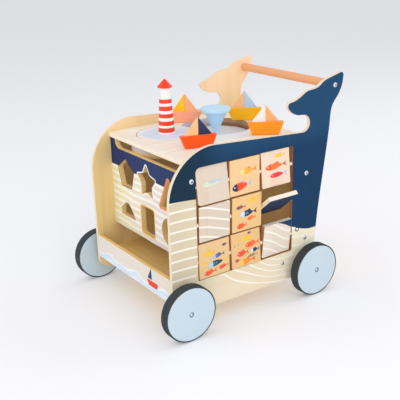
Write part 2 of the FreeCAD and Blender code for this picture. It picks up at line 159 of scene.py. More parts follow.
class Paint:
    """A material with surface coordinates in millimetres and a few brushes."""

    def __init__(self, name, rough=0.45, metal=0.0, coat=0.0, specular=0.3):
        self.material = bpy.data.materials.new(name)
        self.material.use_nodes = True
        self.tree = self.material.node_tree
        self.tree.nodes.clear()
        out = self.tree.nodes.new("ShaderNodeOutputMaterial")
        self.shader = self.tree.nodes.new("ShaderNodeBsdfPrincipled")
        self.tree.links.new(self.shader.outputs[0], out.inputs[0])
        self.shader.inputs["Roughness"].default_value = rough
        self.shader.inputs["Metallic"].default_value = metal
        self.shader.inputs["Coat Weight"].default_value = coat
        self.shader.inputs["Specular IOR Level"].default_value = specular
        self.coords = self.tree.nodes.new("ShaderNodeTexCoord")
        self.x, y, self.z = (v * 1000.0 for v in self.split(self.coords.outputs["Object"]))
        self.a = y - FRONT
        self.nx, self.ny, self.nz = self.split(self.coords.outputs["Normal"])

    def split(self, socket):
        """The three numbers of a vector socket."""
        node = self.tree.nodes.new("ShaderNodeSeparateXYZ")
        self.tree.links.new(socket, node.inputs[0])
        return [Num(self, s) for s in node.outputs]

    def noise(self, stretch, detail=3.0, rough=0.55, twist=0.0):
        """Noise with its own number of cells per metre along x, y and z."""
        scale = self.tree.nodes.new("ShaderNodeMapping")
        scale.inputs["Scale"].default_value = stretch
        self.tree.links.new(self.coords.outputs["Object"], scale.inputs[0])
        node = self.tree.nodes.new("ShaderNodeTexNoise")
        node.inputs["Scale"].default_value = 1.0
        node.inputs["Detail"].default_value = detail
        node.inputs["Roughness"].default_value = rough
        node.inputs["Distortion"].default_value = twist
        self.tree.links.new(scale.outputs[0], node.inputs["Vector"])
        return Num(self, node.outputs[0])

    def mix(self, amount, first, second):
        """first where amount is 0, second where it is 1."""
        node = self.tree.nodes.new("ShaderNodeMix")
        node.data_type = "RGBA"
        for value, index in ((amount, 0), (first, 6), (second, 7)):
            if isinstance(value, Num):
                value = value.socket
            if isinstance(value, bpy.types.NodeSocket):
                self.tree.links.new(value, node.inputs[index])
            else:
                node.inputs[index].default_value = value
        return node.outputs[2]

    def shade(self, colour, amount, strength):
        """The colour made lighter and darker by strength as amount runs from 0 to 1."""
        plain = self.mix(1.0, colour, colour)
        node = self.tree.nodes.new("ShaderNodeHueSaturation")
        self.tree.links.new(plain, node.inputs["Color"])
        value = (amount - 0.5) * (2 * strength) + 1.0
        self.tree.links.new(value.socket, node.inputs["Value"])
        return node.outputs[0]

    def finish(self, colour, height=None, bump=0.1):
        """Put the colour and, with a height, a fine relief on the shader; hand over the material."""
        if isinstance(colour, bpy.types.NodeSocket):
            self.tree.links.new(colour, self.shader.inputs["Base Color"])
        else:
            self.shader.inputs["Base Color"].default_value = colour
        if height is not None:
            node = self.tree.nodes.new("ShaderNodeBump")
            node.inputs["Strength"].default_value = bump
            node.inputs["Distance"].default_value = RELIEF
            self.tree.links.new(height.socket, node.inputs["Height"])
            self.tree.links.new(node.outputs[0], self.shader.inputs["Normal"])
        return self.material


def fibres(p, axis):
    """Wood fibres along an axis: quick streaks and slow growth bands, each from 0 to 1."""
    quick = [260.0, 260.0, 260.0]
    quick[axis] = 10.0
    slow = [42.0, 42.0, 42.0]
    slow[axis] = 2.2
    streak = p.noise(quick, 4.0, 0.6)
    band = p.noise(slow, 3.0, 0.5, 0.6)
    return streak, band


def wood_colour(p, axis, colour, strength):
    """The colour with wood fibres along an axis, and the streaks for the relief."""
    streak, band = fibres(p, axis)
    tone = band * 0.65 + streak * 0.35
    lighter = p.shade(colour, tone, strength)
    warm = p.mix(band.above(0.58, 0.2) * 0.18, lighter, rgb(205, 150, 90))
    return warm, streak


VENEER_PAIR = 3.0   # a light and a dark veneer together


def layers(p, across, colour):
    """Plywood edge: thin alternate veneers stacked along the number `across` (mm)."""
    wobble = p.noise((35.0, 35.0, 35.0), 2.0)
    wave = ((across + wobble * 0.5) * (2 * math.pi / VENEER_PAIR)).do("SINE")
    dark = wave.above(0.35, 0.5) * 0.26
    edge = p.mix(dark, colour, rgb(190, 140, 84))
    speck = p.noise((420.0, 420.0, 420.0), 2.0)
    return p.shade(edge, speck, 0.07)


def wood(name, axis, colour, thickness=None, rough=0.5, strength=0.10, coat=0.1):
    """Clear-varnished wood with its fibres along one axis and ply layers across another."""
    p = Paint(name, rough=rough, coat=coat)
    face, streak = wood_colour(p, axis, colour, strength)
    if thickness is not None:
        across = (p.x, p.a, p.z)[thickness]
        normal = (p.nx, p.ny, p.nz)[thickness]
        face = p.mix(normal.facing(), layers(p, across, YELLOW_PLY), face)
    return p.finish(face, streak, 0.12)


def dress(node, material):
    """Give a CAD node its material."""
    slots = nodes[node].material_slots
    if not slots:
        nodes[node].data.materials.append(material)
    for s in nodes[node].material_slots:
        s.material = material


# ---- printed picture of the side panels and tiles: a navy body over pale waves ----
# Each line below is a list of (distance behind the front edge, height or gap).
SHORE = ((-5, 301.5), (67, 296), (110, 290), (150, 275), (200, 240), (250, 205), (300, 186), (330, 169.5),
         (343, 164), (355, 159), (368, 155), (381, 152), (393, 151.5), (480, 153))
WAVE_LOW = ((-5, 127), (60, 125), (90, 120), (110, 114), (134, 105), (151, 92), (170, 80), (210, 63),
            (255, 50), (286, 44), (327, 40), (480, 37))
WAVE_GAP = ((-5, 21.8), (110, 21.8), (134, 22.5), (170, 24.5), (210, 21.5), (240, 17), (286, 14),
            (327, 14.5), (480, 14.5))
WAVE_HIGH = ((-5, 127), (60, 125), (90, 120), (110, 114), (134, 106), (151, 100), (245, 73), (270, 62),
             (301, 42), (320, 33.5), (335, 33), (364, 29), (406, 25), (480, 24))
HIGH_GAP = 21.8       # rise from one upper wave line to the next
WINDOW_FOOT = 111.5   # lower edge of the tile opening
WINDOW_END = 331.0    # rear edge of the tile opening, from the front edge of the panel


def sea_picture(p, z, base, whole=False):
    """Colour of the picture at distance p.a and height z over the base colour.

    The waves under the tile opening run lower than those around it; whole leaves out the lower ones.
    """
    low = (z - p.a.curve(WAVE_LOW)) / p.a.curve(WAVE_GAP)
    high = (z - p.a.curve(WAVE_HIGH)) / HIGH_GAP
    upper = z.above(WINDOW_FOOT, 0.2).either(p.a.above(WINDOW_END, 0.2))
    if whole:
        upper = z.above(-50.0)
    near_low = (low.do("FRACT") - 0.5).size() * upper.inverse()
    near_high = (high.do("FRACT") - 0.5).size() * upper
    near = near_low + near_high
    width = p.noise((9.0, 9.0, 9.0), 1.0) * 0.03 + 0.385
    lowest = z.above(p.a.curve(WAVE_HIGH if whole else WAVE_LOW) - 8.0) * p.a.above(125.0, 30.0)
    shown = lowest.either(z.above(p.a.below(60.0) * -20.0 + 132.0))
    line = near.above(width, 0.03) * shown
    striped = p.mix(line * 0.85, base, CREAM)
    grain = p.noise((160.0, 160.0, 9.0), 3.0)
    # The navy is darker towards the front; near the top towards the rear it is lifted to a lighter blue, a
    # painted highlight.
    ground = p.mix(p.a.above(110.0, 160.0), rgb(12, 44, 62), NAVY)
    ground = p.mix(z.above(372.0, 40.0) * p.a.above(110.0, 60.0) * 0.6, ground, rgb(30, 76, 112))
    navy = p.shade(ground, grain, 0.10)
    return p.mix(z.above(p.a.curve(SHORE), 0.8), striped, navy)


def side_panel(name, sign):
    """Panel with the sea picture outside, honey ply inside and a browner rim round the tile opening; the
    brown rim is painted shade, and the rear and the inside of the box are lightened with painted light.
    """
    p = Paint(name, rough=0.5, specular=0.15)
    natural, streak = wood_colour(p, 1, BEIGE, 0.08)
    # Lighter towards the rear: painted light over the shade near the rear wheel.
    painted_light_behind = p.a.above(300.0, 140.0) * 0.6
    duller_front = p.a.below(70.0, 110.0)
    warmer_foot = p.z.below(90.0, 60.0) * 0.6
    natural = p.mix(painted_light_behind, natural, rgb(255, 248, 222))
    natural = p.mix(duller_front, natural, rgb(211, 197, 170))
    natural = p.mix(warmer_foot, natural, rgb(238, 218, 196))
    picture = sea_picture(p, p.z, natural, sign < 0)

    honey, _ = wood_colour(p, 2, rgb(235, 209, 150), 0.08)
    blush, _ = wood_colour(p, 2, rgb(250, 218, 178), 0.05)
    head = p.z.above(400.0, 70.0)
    # Inside the box the honey ply is lightened to a pale yellow: painted light standing in for light
    # bounced into the box.
    boxed = p.a.above(75.0, 20.0) * p.a.below(366.0) * p.z.below(345.0)
    inner = p.mix(head, honey, blush)
    inner = p.mix(boxed, inner, rgb(255, 230, 172))

    face = p.mix((p.nx * sign).above(0.0, 0.2), inner, picture)
    # Cut edges round the tile opening are painted brown as shade; the other cut edges stay pale.
    opening_shade_mask = (p.a - 198.0).size().below(139.0) * (p.z - 236.2).size().below(134.0)
    edge = p.mix(opening_shade_mask, layers(p, p.x, rgb(240, 227, 202)), layers(p, p.x, rgb(176, 122, 76)))
    return p.finish(p.mix(p.nx.facing(), edge, face), streak, 0.10)


dress("panel_left", side_panel("panel_left_paint", 1))
dress("panel_right", side_panel("panel_right_paint", -1))


# ---- thin printed shapes ----
INKS = {}


def ink(colour):
    """Printing ink with the wood's fibres just showing through."""
    key = tuple(round(c, 4) for c in colour)
    if key not in INKS:
        p = Paint("ink_%02d" % len(INKS), rough=0.5)
        fibre = p.noise((180.0, 180.0, 180.0), 3.0)
        INKS[key] = p.finish(p.shade(colour, fibre, 0.08), fibre, 0.05)
    return INKS[key]


def between(p0, p1, p2, p3, t):
    """Point on the smooth line through four points, as t runs from 0 at p1 to 1 at p2."""
    return 0.5 * (2 * p1 + (p2 - p0) * t + (2 * p0 - 5 * p1 + 4 * p2 - p3) * t * t
                  + (3 * p1 - p0 - 3 * p2 + p3) * t ** 3)


def smooth_loop(points, steps):
    """Closed loop through the points, rounded."""
    n = len(points)
    out = []
    for i in range(n):
        around = [Vector(points[(i + k - 1) % n]) for k in range(4)]
        out += [between(*around, step / steps) for step in range(steps)]
    return out


def ring_points(u, v, r, n, start=0.0):
    """Circle of n points round (u, v)."""
    turns = [start + 2 * math.pi * k / n for k in range(n)]
    return [Vector((u + r * math.cos(t), v + r * math.sin(t))) for t in turns]


def signed_area(loop):
    """Twice the area of the loop, positive when it runs anticlockwise."""
    n = len(loop)
    return sum(loop[i][0] * loop[(i + 1) % n][1] - loop[(i + 1) % n][0] * loop[i][1] for i in range(n))


def add_object(name, mesh, materials):
    """Turn a finished bmesh into an object of the scene."""
    bmesh.ops.recalc_face_normals(mesh, faces=mesh.faces)
    data = bpy.data.meshes.new(name)
    mesh.to_mesh(data)
    mesh.free()
    for material in materials:
        data.materials.append(material)
    made = bpy.data.objects.new(name, data)
    bpy.context.scene.collection.objects.link(made)
    return made


SUNK = -0.05    # the underside of a printed shape lies this far inside the wood
FILM = 0.06     # thickness of the lowest ink
LAYER = 0.07    # what each further level adds


class Print:
    """Flat printed shapes on one face. u runs along `right`, v along `up`, both from the origin."""

    def __init__(self, origin, right, up):
        self.origin = Vector(origin)
        self.right = Vector(right).normalized()
        self.up = Vector(up).normalized()
        self.out = self.right.cross(self.up)
        self.mesh = bmesh.new()
        self.inks = []

    def spot(self, point, height):
        """Point in metres at (u, v) and so many millimetres above the face."""
        return self.origin + (self.right * point[0] + self.up * point[1] + self.out * height) * MM

    def ink_index(self, colour):
        """Place of the colour's ink in the list of inks of this print."""
        material = ink(colour)
        if material not in self.inks:
            self.inks.append(material)
        return self.inks.index(material)

    def shape(self, colour, loop, level=1):
        """A filled shape; a higher level lies over a lower one."""
        index = self.ink_index(colour)
        if signed_area(loop) < 0:
            loop = loop[::-1]
        low = [self.mesh.verts.new(self.spot(q, SUNK)) for q in loop]
        high = [self.mesh.verts.new(self.spot(q, FILM + LAYER * level)) for q in loop]
        n = len(loop)
        walls = [(low[i], low[(i + 1) % n], high[(i + 1) % n], high[i]) for i in range(n)]
        for corners in walls + [high, low[::-1]]:
            self.mesh.faces.new(corners).material_index = index

    def band(self, colour, inner, outer, level=1):
        """A closed strip between two loops with the same number of points."""
        index = self.ink_index(colour)
        rims = [[self.mesh.verts.new(self.spot(q, h)) for q in loop]
                for loop in (inner, outer) for h in (SUNK, FILM + LAYER * level)]
        in_low, in_high, out_low, out_high = rims
        n = len(inner)
        for i in range(n):
            j = (i + 1) % n
            for quad in ((in_high[i], out_high[i], out_high[j], in_high[j]),
                         (in_low[j], out_low[j], out_low[i], in_low[i]),
                         (out_low[i], out_low[j], out_high[j], out_high[i]),
                         (in_low[j], in_low[i], in_high[i], in_high[j])):
                self.mesh.faces.new(quad).material_index = index

    def done(self, name, body, slot):
        """Make one object of all the shapes; it moves with the body."""
        made = add_object(name, self.mesh, self.inks)
        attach(made, body)


def fish(sheet, u, v, length, height, tilt, head, body, tail):
    """A simple fish swimming to the left: rounded head, tapering body and forked tail.

    A long fish has a belly in the colour of its head, a middling one two scales.
    """
    turn = Matrix.Rotation(math.radians(tilt), 2)

    def place(points):
        return [turn @ Vector(q) + Vector((u, v)) for q in points]

    def girth(t):
        return height / 2 * math.sin(math.pi * min(t, 1.0) ** 0.72) ** 0.85

    def side(t0, t1, n, sign):
        return [(-length / 2 + 0.8 * length * t, sign * (girth(t) + 0.04 * height * (t > 0.5)))
                for t in (t0 + (t1 - t0) * k / n for k in range(n + 1))]

    join = 0.3
    bulge = [(-length / 2 + 0.8 * length * join + 0.04 * length * math.cos(math.pi * (k / 4 - 0.5)),
              girth(join) * math.sin(math.pi * (k / 4 - 0.5))) for k in range(1, 4)]
    low, high = side(0.02, join, 5, -1), side(0.02, join, 5, 1)
    sheet.shape(head, place(low + bulge + high[::-1]), 2)
    low, high = side(join, 0.93, 8, -1), side(join, 0.93, 8, 1)
    sheet.shape(body, place(low + high[::-1]), 1)
    fin = [(-0.12 * length, 0.36 * height), (0.02 * length, 0.62 * height), (0.10 * length, 0.58 * height),
           (0.12 * length, 0.30 * height)]
    sheet.shape(tail, place(smooth_loop(fin, 3)), 0)
    fork = [(0.20 * length, 0.0), (0.32 * length, 0.10 * height), (0.5 * length, 0.46 * height),
            (0.43 * length, 0.0), (0.5 * length, -0.46 * height), (0.32 * length, -0.10 * height)]
    sheet.shape(tail, place(smooth_loop(fork, 3)), 0)
    spot = turn @ Vector((-0.37 * length, 0.08 * height)) + Vector((u, v))
    sheet.shape(WHITE, ring_points(*spot, 0.11 * height, 12), 3)
    sheet.shape(rgb(40, 36, 44), ring_points(*spot, 0.055 * height, 10), 4)
    if length > 62:
        low = side(0.2, 0.9, 9, -1)
        sheet.shape(head, place(low + [(x, y * 0.15) for x, y in low[::-1]]), 1.5)
    elif length > 26:
        for k in (0.42, 0.55):
            x = -length / 2 + 0.8 * length * k
            g = girth(k) * 0.5
            scale = [(x - 0.5, -g), (x + 0.9, -g * 0.5), (x + 1.5, 0), (x + 0.9, g * 0.5), (x - 0.5, g),
                     (x + 0.5, 0)]
            sheet.shape(head, place(smooth_loop(scale, 3)), 2)


ORANGE_RED = rgb(244, 96, 44)
CORAL = rgb(236, 70, 62)
PLUM = rgb(104, 66, 104)
LILAC = rgb(176, 186, 226)
LEMON = rgb(246, 196, 60)
TEAL = rgb(36, 74, 96)
AQUA = rgb(168, 208, 220)
GREEN = rgb(206, 214, 140)
GREY = rgb(150, 140, 120)
# Each fish: place across and up from the middle of the tile, length, height, tilt in degrees, then the
# colours of head, body and tail.
SHOALS = {
    "tile_11": [(5, 3, 64, 11, 4, rgb(214, 222, 190), rgb(186, 200, 214), rgb(196, 208, 214))],
    "tile_12": [(9, 11, 46, 13, 4, rgb(250, 218, 120), rgb(250, 172, 60), rgb(244, 130, 50)),
                (-8, -20, 54, 18, 7, NAVY, rgb(246, 84, 34), LILAC)],
    "tile_13": [(13, 27, 28, 9, 2, YELLOW, LEMON, rgb(248, 160, 44)),
                (1, 5, 62, 14, 3, ORANGE_RED, rgb(242, 122, 56), ORANGE_RED),
                (7, -15, 50, 11, 2, CORAL, rgb(232, 56, 72), LILAC)],
    "tile_22": [(18, 27, 30, 9, 2, LEMON, LEMON, YELLOW),
                (-17, 16, 26, 8, 2, PLUM, rgb(176, 70, 80), PLUM),
                (4, -1, 47, 14, 2, rgb(206, 222, 236), NAVY, NAVY),
                (13, -15, 24, 9, 3, ORANGE_RED, rgb(244, 120, 60), ORANGE_RED),
                (-13, -28, 29, 12, 2, CORAL, ORANGE_RED, rgb(244, 130, 70))],
    "tile_31": [(28, 26, 15, 6, 2, PLUM, PLUM, CORAL),
                (-13, 15, 28, 11, 4, LEMON, YELLOW, rgb(248, 170, 50)),
                (11, 5, 33, 9, 6, LILAC, rgb(92, 84, 146), PLUM),
                (8, -11, 52, 13, 5, AQUA, TEAL, YELLOW),
                (-26, -6, 13, 7, 2, LEMON, LEMON, YELLOW),
                (-11, -29, 34, 11, 7, CORAL, ORANGE_RED, CORAL),
                (24, -24, 27, 9, 8, CORAL, rgb(242, 90, 56), ORANGE_RED)],
    "tile_32": [(11, 34, 11, 5, 2, PLUM, PLUM, PLUM),
                (4, 23, 29, 12, 4, LEMON, YELLOW, LEMON),
                (18, 7, 40, 13, 4, ORANGE_RED, rgb(244, 104, 56), ORANGE_RED),
                (-26, 12, 13, 5, 3, GREY, GREEN, GREY),
                (-9, -9, 33, 13, 4, CORAL, rgb(242, 90, 60), CORAL),
                (25, -9, 25, 9, 2, rgb(220, 226, 230), NAVY, NAVY),
                (19, -20, 28, 6, 3, rgb(140, 106, 86), GREY, rgb(140, 106, 86)),
                (-25, -23, 15, 7, 2, CORAL, rgb(150, 90, 80), CORAL),
                (2, -30, 46, 13, 3, LEMON, rgb(248, 140, 50), CORAL)],
}
TINTS = {"tile_11": rgb(219, 204, 184), "tile_12": rgb(240, 198, 147), "tile_13": rgb(238, 214, 190),
         "tile_22": rgb(234, 194, 133), "tile_31": rgb(230, 193, 141), "tile_32": rgb(230, 189, 132)}
BACK_FISH = [(-4, 12, 48, 15, 3, ORANGE_RED, rgb(242, 122, 56), CORAL),
             (8, -16, 40, 12, 2, NAVY, LILAC, TEAL)]
# Degrees that each tile is turned about its rod at rest, as in the CAD.
TILT = {"tile_11": -7.5, "tile_12": 0, "tile_13": -5, "tile_21": 2, "tile_22": 1.5, "tile_23": 49,
        "tile_31": -1, "tile_32": -3.5, "tile_33": 7.5}
TILE_T = 11.0    # thickness of a tile
TILE_RIM = 0.9   # depth to which the print wraps over the tile's edge
PALE_EDGE = rgb(248, 238, 224)
# Brown tile edges are painted shade for the gaps between the tiles.
SHADED_EDGE_BROWN = rgb(196, 140, 92)


def tile_frame(node):
    """Middle of a flip tile and its outward and upward directions."""
    x, a, z = middle(node)
    t = math.radians(TILT[node])
    outward = Vector((math.cos(t), 0, -math.sin(t)))
    upward = Vector((math.sin(t), 0, math.cos(t)))
    return (x, a, z), outward, upward


def tile_paint(node, fish_side):
    """One side plain for the fish, the other a piece of the sea picture; fish_side is 1 for outwards."""
    (x, a, z), outward, upward = tile_frame(node)
    p = Paint(node + "_paint", rough=0.45, coat=0.1, specular=0.2)
    dx, dz = p.x - x, p.z - z
    through = dx * outward.x + dz * outward.z
    height = dx * upward.x + dz * upward.z
    plain, streak = wood_colour(p, 2, TINTS.get(node, PEACH), 0.06)
    pale_tint = rgb(229, 217, 201) if node == "tile_33" else rgb(216, 201, 182)
    pale, _ = wood_colour(p, 2, pale_tint, 0.06)
    picture = sea_picture(p, height + z, pale)
    outer = through.above(0.0, 0.5)
    if fish_side > 0:
        face = p.mix(outer, picture, plain)
    else:
        face = p.mix(outer, plain, picture)
    # Most tile edges, and the side edges of tile_33, are painted brown as shade in the gaps; tile_23 and
    # the other edges of tile_33 stay pale.
    edge_tint = PALE_EDGE if node in ("tile_23", "tile_33") else SHADED_EDGE_BROWN
    edge = layers(p, through, edge_tint)
    if node == "tile_33":
        edge = p.mix(p.ny.size().above(0.7, 0.1), edge, layers(p, through, SHADED_EDGE_BROWN))
    body = p.mix(through.size().above(TILE_T / 2 - TILE_RIM, 0.3), edge, face)
    return p.finish(body, streak, 0.10)


def finish_tile(node):
    """Paint a flip tile and print its fish."""
    side = 1 if node in SHOALS else -1
    dress(node, tile_paint(node, side))
    (x, a, z), outward, upward = tile_frame(node)
    origin = at(x, a, z) + outward * side * TILE_T / 2 * MM
    sheet = Print(origin, (0, side, 0), upward)
    for one in SHOALS.get(node, BACK_FISH):
        fish(sheet, *one)
    sheet.done("print_" + node, node, "tile_print")


for node in TILT:
    finish_tile(node)


# ---- shape sorter ----
ARC_STEPS = 5   # straight pieces in a rounded corner


def corner_loop(points, r):
    """Polygon with rounded corners."""
    out = []
    count = len(points)
    for i in range(count):
        before, here, after = (Vector(points[(i + k - 1) % count]) for k in range(3))
        to_before = (before - here).normalized()
        to_after = (after - here).normalized()
        half = math.acos(max(-1, min(1, to_before.dot(to_after)))) / 2
        reach = r / math.tan(half)
        start, end = here + to_before * reach, here + to_after * reach
        centre = here + (to_before + to_after).normalized() * r / math.sin(half)
        v0, v1 = start - centre, end - centre
        turn = math.atan2(v0.x * v1.y - v0.y * v1.x, v0.dot(v1))
        for k in range(ARC_STEPS + 1):
            out.append(centre + Matrix.Rotation(turn * k / ARC_STEPS, 2) @ v0)
    return out


def grown(loop, by):
    """The loop moved outwards by a distance."""
    n = len(loop)
    sign = 1 if signed_area(loop) > 0 else -1
    out = []
    for i in range(n):
        t = (loop[(i + 1) % n] - loop[i - 1]).normalized()
        out.append(loop[i] + Vector((t.y, -t.x)) * sign * by)
    return out


def pentagon(x, z, r):
    turns = [k * 0.4 * math.pi for k in range(5)]
    return corner_loop([(x + r * math.sin(t), z + r * math.cos(t)) for t in turns], 3)


def star(x, z, r):
    points = []
    for k in range(10):
        size = r if k % 2 == 0 else 0.56 * r
        points.append((x + size * math.sin(k * math.pi / 5), z + size * math.cos(k * math.pi / 5)))
    return corner_loop(points, 2.4)


def triangle(x, z, base, height):
    return corner_loop([(x - base / 2, z), (x + base / 2, z), (x, z + height)], 2.5)


def crest(x, z, width, height):
    """Wave with a shoulder on the left, a crest and a long slope to the right."""
    top = [Vector(q) for q in ((-0.5, 0.56), (-0.36, 0.66), (-0.20, 0.90), (-0.04, 1.0), (0.14, 0.86),
                               (0.34, 0.50), (0.5, 0.14))]
    last = len(top) - 1
    line = [top[0]]
    for i in range(last):
        around = (top[max(i - 1, 0)], top[i], top[i + 1], top[min(i + 2, last)])
        line += [between(*around, k / 4) for k in range(1, 5)]
    foot = [Vector((-0.5, 0)), Vector((0.5, 0))]
    return [Vector((x + q.x * width, z + q.y * height)) for q in foot + line[::-1]]


def rectangle(x, z, width, height, r):
    return corner_loop([(x - width / 2, z), (x + width / 2, z), (x + width / 2, z + height),
                        (x - width / 2, z + height)], r)


SORTER_GAP = 16.5      # rise from one printed line to the next
SORTER_SHORE = 300.5   # height of the sky's lower edge


def sorter_paint():
    """Sand with wavy lines under a navy sky; yellower towards the right side."""
    p = Paint("sorter_paint", rough=0.45, coat=0.1, specular=0.15)
    yellow, streak = wood_colour(p, 0, rgb(237, 232, 184), 0.06)
    pale, _ = wood_colour(p, 0, rgb(231, 222, 212), 0.05)
    natural = p.mix(((p.x + 150.0) * 0.006 + (p.z - 150.0) * -0.001).above(0.5, 1.0), yellow, pale)
    wave = (p.x * 0.045 + 1.0).do("SINE") * 1.6 + (p.x * 0.11).do("SINE") * 0.6
    place = (p.z - wave) / SORTER_GAP
    line = (place.do("FRACT") - 0.5).size().above(0.30, 0.06)
    striped = p.mix(line * 0.85, natural, rgb(252, 246, 240))
    shore = wave * 0.6 + SORTER_SHORE
    navy = p.shade(rgb(14, 42, 96), streak, 0.10)
    face = p.mix(p.z.above(shore, 0.8), striped, navy)
    back, _ = wood_colour(p, 2, rgb(255, 226, 162), 0.08)
    face = p.mix(p.ny.below(0.0, 0.2), back, face)
    # The cut edges of the holes are lighter than the ply: painted light, as if lit from above.
    edge = layers(p, p.a, rgb(255, 224, 156))
    return p.finish(p.mix(p.ny.facing(), edge, face), streak, 0.1)


# Each hole as in the CAD, with the colour and the width of the line printed round it.
HOLES = ((rgb(38, 44, 66), pentagon(-94, 288, 37), 2.0),
         (WHITE, star(-3, 291, 42), 3.0),
         (rgb(252, 132, 62), triangle(87, 249, 76, 74), 3.6),
         (rgb(240, 236, 238), crest(-94, 182, 64, 36), 2.6),
         (rgb(250, 206, 122), rectangle(-5, 163, 57, 68, 8), 3.6),
         (rgb(232, 238, 246), ring_points(87, 198, 33, 48), 3.2))

dress("sorter_panel", sorter_paint())
sorter_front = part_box("sorter_panel")[0].y / MM - FRONT
outlines = Print(at(0, sorter_front, 0), (1, 0, 0), (0, 0, 1))
for colour, loop, width in HOLES:
    outlines.band(colour, grown(loop, 0.15), grown(loop, width))
outlines.done("print_sorter_outlines", "chassis", "sorter_paint")


# ---- front board with waves and a small boat ----
def front_paint():
    """Pale wood with a white-topped wave rolling along it."""
    p = Paint("front_paint", rough=0.45, coat=0.1)
    natural, streak = wood_colour(p, 0, rgb(231, 222, 210), 0.05)
    swell = (p.x * (2 * math.pi / 118) + 0.9).do("SINE") * 4.0
    chop = (p.x * (2 * math.pi / 61)).do("SINE") * 1.8
    top = swell + chop + 91.0
    foam_foot = top - 4.5 + (p.x * 0.09).do("SINE") * 1.4
    foam = p.mix(p.z.below(top, 0.8), natural, rgb(238, 241, 243))
    water = p.mix(p.z.below(foam_foot, 2.5), foam, rgb(214, 227, 241))
    lower = p.mix(p.z.below(top - 15.0, 2.0) * 0.8, water, rgb(232, 236, 242))
    face = p.mix(p.ny.below(0.0, 0.2), natural, lower)
    edge = layers(p, p.a, rgb(246, 206, 132))
    return p.finish(p.mix(p.ny.size().above(0.55, 0.2), edge, face), streak, 0.1)


def little_boat(sheet, u, v, size, hull, left, right):
    """Printed boat, `size` millimetres long: a rounded hull and two sails."""
    s = size / 50

    def place(points):
        return [Vector((u + x * s, v + y * s)) for x, y in points]

    sheet.shape(hull, place(corner_loop([(-24, 7), (-16, -7), (18, -7), (25, 7)], 3)))
    sheet.shape(left, place(corner_loop([(-20, 10), (-2, 10), (-4, 38)], 1)))
    sheet.shape(right, place(corner_loop([(1, 10), (14, 10), (0, 34)], 1)))


dress("front_board", front_paint())
waves = Print(at(0, 0, 0), (1, 0, 0), (0, 0, 1))
little_boat(waves, 88, 91, 49, RED, NAVY, rgb(206, 222, 240))
waves.done("print_front_boat", "chassis", "front_print")


# ---- deck, gears and lighthouse ----
HUB_A = middle("lighthouse_tower")
HUB_B = middle("funnel_knob")
WELL_BACK = 315.0   # behind this distance the side walls of the wells turn from the pale front colour to the brown rear one


def ripple(p, hub, radius, wobble, lobes):
    """Distance from a hub less a wavy radius: negative inside a splash of water."""
    dx, da = p.x - hub[0], p.a - hub[1]
    angle = da.do("ARCTAN2", dx)
    far = (dx * dx + da * da).do("SQRT")
    large = (angle * lobes).do("SINE") * wobble
    small = (angle * (lobes - 2) + 1.0).do("SINE") * wobble * 0.5
    return far - (large + small + radius)


def well_wall(p, front, behind):
    """Cut edge of the round wells: pale blue-grey in front, lightened as painted light; brown behind, as
    painted shade.
    """
    return p.mix(p.a.above(WELL_BACK, 8.0), layers(p, p.z, front), layers(p, p.z, behind))


def deck_paint(name, lid=False):
    """Pale wood with a splash of water round the lighthouse (lid) or beside the funnel (deck)."""
    p = Paint(name, rough=0.5)
    natural, streak = wood_colour(p, 1, rgb(246, 238, 224), 0.05)
    corner = p.a.below(60.0, 70.0) * p.x.below(-40.0, 120.0)
    natural = p.mix(corner * 0.8, natural, rgb(240, 220, 186))
    blue = p.mix(p.noise((30.0, 30.0, 30.0), 2.0), rgb(206, 222, 244), rgb(226, 234, 246))
    if lid:
        splash = ripple(p, HUB_A, 60.0, 2.2, 5)
    else:
        beside = (HUB_B[0] + 62, HUB_B[1] - 30)
        splash = ripple(p, beside, 62.0, 4.0, 5)
        blue = p.mix(0.45, blue, natural)
    face = p.mix(splash.below(0.0, 6.0), natural, blue)
    foam = splash.size().below(1.4, 2.4)
    face = p.mix(foam * 0.5, face, WHITE)
    cut = well_wall(p, rgb(222, 224, 238), rgb(180, 148, 116))
    edge = p.mix(p.a.below(60.0), cut, layers(p, p.z, rgb(250, 238, 216)))
    return p.finish(p.mix(p.nz.facing(), edge, face), streak, 0.1)


def disc_paint():
    """Pale blue disc with wavy white rings round the funnel."""
    p = Paint("gear_disc_paint", rough=0.5)
    natural, streak = wood_colour(p, 1, rgb(232, 208, 172), 0.06)
    blue = p.mix(p.noise((30.0, 30.0, 30.0), 2.0), rgb(222, 230, 242), rgb(236, 238, 244))
    rings = (ripple(p, HUB_B, 0.0, 2.0, 5) / 17.0).do("FRACT")
    print_face = p.mix((rings - 0.5).size().above(0.42, 0.06) * 0.7, blue, WHITE)
    return p.finish(p.mix(p.nz.above(0.6, 0.2), natural, print_face), streak, 0.1)


def ring_paint():
    """Ring under the deck, whose inner wall carries the wells' wall downwards; its faces are painted dark
    brown as shade.
    """
    p = Paint("ring_paint", rough=0.5)
    face, streak = wood_colour(p, 1, rgb(150, 112, 78), 0.08)
    cut = well_wall(p, rgb(200, 200, 214), rgb(150, 112, 80))
    return p.finish(p.mix(p.nz.facing(), cut, face), streak, 0.1)


dress("top_board", deck_paint("deck_paint"))
dress("lighthouse_lid", deck_paint("lid_paint", True))
dress("gear_disc", disc_paint())
dress("gear_large", wood("gear_large_wood", 1, rgb(206, 168, 122), 2))
dress("gear_small", wood("gear_small_wood", 1, rgb(206, 168, 122), 2))
dress("hub_block", wood("hub_wood", 1, PLYWOOD))
dress("well_ring", ring_paint())
